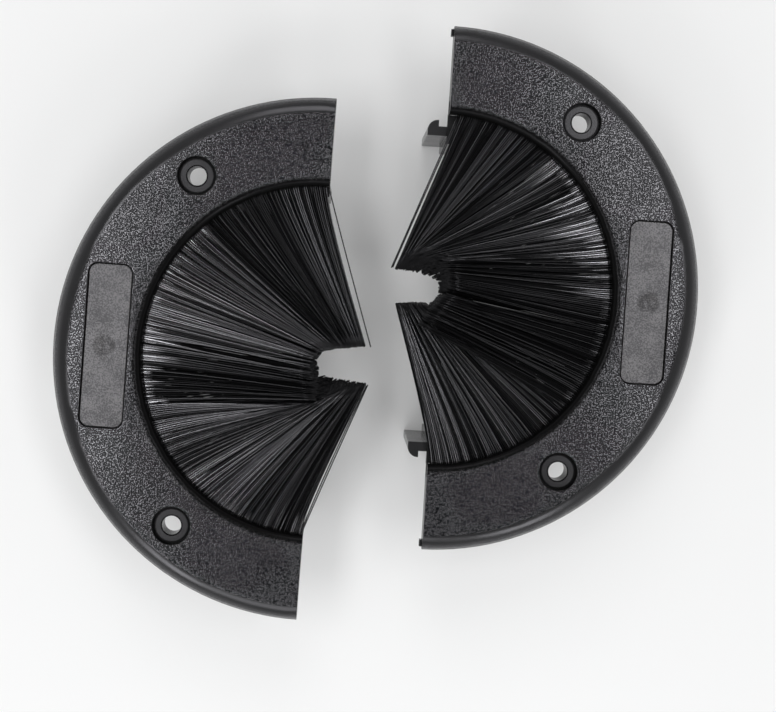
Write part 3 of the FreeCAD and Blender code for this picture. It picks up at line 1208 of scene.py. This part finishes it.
def tube_mesh(name: str, paths: np.ndarray, radius: float, sides: int) -> bpy.types.Mesh:
    """Make closed round tubes along many paths.

    Args:
        name: name of the mesh.
        paths: places, tube by span by x, y, z, in metres.
        radius: radius of each tube in metres.
        sides: sides of each tube.

    Returns:
        The mesh, smooth along its tubes.
    """
    count, rings, _ = paths.shape
    along = np.gradient(paths, axis=1)
    along /= np.linalg.norm(along, axis=2, keepdims=True)
    across = np.cross(along, np.array([0.0, 0.0, 1.0]))
    across /= np.linalg.norm(across, axis=2, keepdims=True)
    above = np.cross(across, along)
    turn = 2 * math.pi * np.arange(sides) / sides
    ring = across[:, :, None] * np.cos(turn)[:, None] + above[:, :, None] * np.sin(turn)[:, None]
    points = (paths[:, :, None] + ring * radius).reshape(-1, 3)
    first = (np.arange(count) * rings * sides)[:, None, None]
    level = (np.arange(rings - 1) * sides)[None, :, None]
    here = np.arange(sides)
    after = (here + 1) % sides
    corners = np.stack(
        np.broadcast_arrays(
            first + level + here,
            first + level + after,
            first + level + sides + after,
            first + level + sides + here,
        ),
        axis=-1,
    ).reshape(-1, 4)
    caps = []
    for tube in range(count):
        base = tube * rings * sides
        caps.append([base + side for side in reversed(range(sides))])
        caps.append([base + (rings - 1) * sides + side for side in range(sides)])
    mesh = bpy.data.meshes.new(name)
    mesh.from_pydata(points.tolist(), [], corners[:, ::-1].tolist() + [cap[::-1] for cap in caps])
    smooth = np.concatenate([np.ones(len(corners), bool), np.zeros(len(caps), bool)])
    mesh.polygons.foreach_set("use_smooth", smooth)
    mesh.update()
    return mesh


def add_piece(name: str, mesh: bpy.types.Mesh) -> bpy.types.Object:
    """Put a mesh in the scene as a piece of the grommet.

    Args:
        name: name of the piece.
        mesh: its mesh, in the frame.

    Returns:
        The piece, riding on the one body.
    """
    piece = bpy.data.objects.new(name, mesh)
    bpy.context.scene.collection.objects.link(piece)
    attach(piece, BODY)
    return piece


@dataclass
class SmoothRounds:
    """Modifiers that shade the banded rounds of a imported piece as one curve.

    Args:
        crease_deg: edges that turn more than this stay sharp.
        weld: points closer than this count as one.
        face_weight: how far large faces lead the shading.
    """

    crease_deg: float = 38.0
    weld: float = 0.002
    face_weight: int = 90

    def __post_init__(self) -> None:
        """Build the node group once."""
        group = bpy.data.node_groups.new("smooth_rounds", "GeometryNodeTree")
        group.interface.new_socket("Geometry", in_out="INPUT", socket_type="NodeSocketGeometry")
        group.interface.new_socket("Geometry", in_out="OUTPUT", socket_type="NodeSocketGeometry")
        nodes = group.nodes
        weld = nodes.new("GeometryNodeMergeByDistance")
        weld.inputs["Distance"].default_value = self.weld * MM
        angle = nodes.new("GeometryNodeInputMeshEdgeAngle")
        sharp = nodes.new("FunctionNodeCompare")
        sharp.inputs[1].default_value = math.radians(self.crease_deg)
        normals = nodes.new("GeometryNodeSetMeshNormal")
        normals.mode = "SHARPNESS"
        links = group.links
        links.new(nodes.new("NodeGroupInput").outputs[0], weld.inputs["Geometry"])
        links.new(weld.outputs[0], normals.inputs["Mesh"])
        links.new(angle.outputs["Unsigned Angle"], sharp.inputs[0])
        links.new(sharp.outputs[0], normals.inputs["Edge Sharpness"])
        links.new(normals.outputs[0], nodes.new("NodeGroupOutput").inputs[0])
        normals.inputs["Remove Custom"].default_value = True
        self.group = group

    def apply(self, piece: bpy.types.Object) -> None:
        """Add the modifiers to a piece.

        Args:
            piece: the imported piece.
        """
        piece.modifiers.new("smooth_rounds", "NODES").node_group = self.group
        weights = piece.modifiers.new("flat_faces_lead", "WEIGHTED_NORMAL")
        weights.keep_sharp = True
        weights.weight = self.face_weight


@dataclass
class GrommetHalf:
    """One half of the grommet: its packed mouldings and its loose bristles."""

    place: HalfPlace
    sizes: FlangeSizes
    nodes: dict[str, bpy.types.Object]
    fan: BristleFan
    rounds: SmoothRounds

    def node(self, zone: Zone) -> bpy.types.Object:
        """Packed object of one piece."""
        return self.nodes[node_name(self.place.side, zone)]

    def build(self) -> None:
        """Make the bristles."""
        self.fan.dress(self.fan.build())

    def dress(self) -> None:
        """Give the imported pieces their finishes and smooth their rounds."""
        plastic = GrainedPlastic().build(self.place, self.sizes)
        steel = ZincSteel().build(self.place)
        finishes = {Zone.FRAME: plastic, Zone.CHANNEL: steel, Zone.WIRE: steel}
        for zone, finish in finishes.items():
            piece = self.node(zone)
            piece.data.materials.clear()
            piece.data.materials.append(finish)
            self.rounds.apply(piece)
            LOG.info("%s: dressed in %s", piece.name, finish.name)


@dataclass(frozen=True)
class SoftPanel:
    """A soft lamp panel that faces the grommet.

    Args:
        name: name of the lamp.
        azimuth_deg: where it stands round the grommet, from +X towards +Y.
        zenith_deg: how far it is from straight above.
        size: width round the grommet and height, in metres.
        radiance: brightness of its face, where 1 is white.
        distance: how far off it hangs, in metres.
    """

    name: str
    azimuth_deg: float
    zenith_deg: float
    size: tuple[float, float]
    radiance: float
    distance: float = 1.0

    def build(self) -> bpy.types.Object:
        """Hang the lamp.

        Returns:
            The lamp's object.
        """
        lamp = bpy.data.lights.new(self.name, "AREA")
        lamp.shape = "RECTANGLE"
        lamp.size, lamp.size_y = self.size
        lamp.energy = self.radiance * math.pi * self.size[0] * self.size[1]
        piece = bpy.data.objects.new(self.name, lamp)
        azimuth = math.radians(self.azimuth_deg)
        zenith = math.radians(self.zenith_deg)
        flat = math.sin(zenith) * self.distance
        height = math.cos(zenith) * self.distance
        piece.location = (flat * math.cos(azimuth), flat * math.sin(azimuth), height)
        piece.rotation_euler = (-Vector(piece.location)).to_track_quat("-Z", "Y").to_euler()
        piece.visible_camera = False
        bpy.context.scene.collection.objects.link(piece)
        return piece


@dataclass
class Studio:
    """The table, the soft light and the camera.

    Args:
        camera_mm: where the camera stands.
        camera_deg: how it is turned.
        focal_px: its focal length in pixels of the image.
        near_m: where its view starts.
        table_m: side of the table top.
        room: steps of height in the room, with the light from there.
        dark_band: where the band overhead starts and ends sideways, and the light left in it.
        panels: the lamps.
    """

    camera_mm: tuple[float, float, float] = (-7.196, 9.421, 363.134)
    camera_deg: tuple[float, float, float] = (-2.936, -1.586, 3.534)
    focal_px: float = 1400.0
    near_m: float = 0.01
    table_m: float = 12.0
    room: tuple[Range, ...] = (
        (0.0, 1.0),
        (0.3, 0.55),
        (0.6, 0.3),
        (0.85, 0.2),
        (0.97, 0.08),
    )
    dark_band: tuple[float, float, float] = (0.08, 0.38, 0.6)
    panels: tuple[SoftPanel, ...] = (
        SoftPanel("left_panel", 180.0, 19.0, (0.55, 0.2), 6.6),
        SoftPanel("right_panel", 14.0, 20.0, (0.55, 0.2), 5.4),
        SoftPanel("front_left_panel", -122.0, 50.0, (0.2, 0.35), 6.0),
        SoftPanel("front_right_panel", -62.0, 50.0, (0.2, 0.35), 6.0),
        SoftPanel("front_panel", -97.0, 42.0, (0.35, 0.5), 2.6),
        SoftPanel("back_panel", 97.0, 42.0, (0.35, 0.5), 2.8),
    )

    def build(self) -> None:
        """Set up everything around the grommet."""
        self.lay_table()
        self.light_world()
        for panel in self.panels:
            panel.build()
        self.place_camera()

    def lay_table(self) -> None:
        """Lay the table top under the grommet."""
        half = self.table_m / 2
        corners = [(-half, -half, 0), (half, -half, 0), (half, half, 0), (-half, half, 0)]
        mesh = bpy.data.meshes.new("table")
        mesh.from_pydata(corners, [], [(0, 1, 2, 3)])
        mesh.materials.append(PaleTable().build())
        table = bpy.data.objects.new("table", mesh)
        bpy.context.scene.collection.objects.link(table)

    def light_world(self) -> None:
        """Light the room: pale at the horizon and at both sides, darker in a band overhead."""
        world = bpy.data.worlds.new("room")
        world.use_nodes = True
        desk = NodeDesk(world.node_tree)
        sight = desk.tree.nodes.new("ShaderNodeTexCoord").outputs["Generated"]
        ramp = desk.add("ShaderNodeValToRGB", Fac=desk.part(sight, "Z"))
        stops = ramp.color_ramp.elements
        made = len(stops)
        for index, (position, level) in enumerate(self.room):
            stop = stops[index] if index < made else stops.new(position)
            stop.position = position
            stop.color = (level, level, level, 1.0)
        start, end, low = self.dark_band
        share = desk.step(desk.sum(MathStep.ABSOLUTE, desk.part(sight, "X")), start, end, low, 1.0)
        background = desk.tree.nodes["Background"]
        desk.fill(background.inputs["Color"], ramp.outputs[0])
        desk.fill(background.inputs["Strength"], share)
        bpy.context.scene.world = world

    def place_camera(self) -> None:
        """Stand the camera where the photograph was taken from."""
        camera = bpy.data.cameras.new("camera")
        camera.sensor_fit = "HORIZONTAL"
        camera.sensor_width = SENSOR_WIDTH_MM
        camera.lens = SENSOR_WIDTH_MM * self.focal_px / IMAGE_WIDTH_PX
        camera.clip_start = self.near_m
        piece = bpy.data.objects.new("camera", camera)
        piece.location = Vector(self.camera_mm) * MM
        piece.rotation_euler = [math.radians(angle) for angle in self.camera_deg]
        bpy.context.scene.collection.objects.link(piece)
        bpy.context.scene.camera = piece


def main() -> None:
    """Load the frame, dress both halves and set the studio."""
    logging.basicConfig(level=logging.INFO, format="%(name)s: %(message)s")
    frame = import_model()
    bpy.context.scene.view_settings.view_transform = "Standard"
    sizes = FlangeSizes.from_frame()
    rounds = SmoothRounds()
    plans = (
        (Side.MALE, MALE_GROUPS, MALE_STRAYS, MALE_SEED),
        (Side.FEMALE, FEMALE_GROUPS, FEMALE_STRAYS, FEMALE_SEED),
    )
    for side, groups, strays, seed in plans:
        place = HalfPlace.from_frame(side, sizes)
        LOG.info("%s half: middle at %.2f, %.2f mm", side.value, *place.middle)
        fan = BristleFan(place, sizes, groups, strays, seed)
        half = GrommetHalf(place, sizes, frame["nodes"], fan, rounds)
        half.build()
        half.dress()
    Studio().build()


if __name__ == "__main__":
    main()
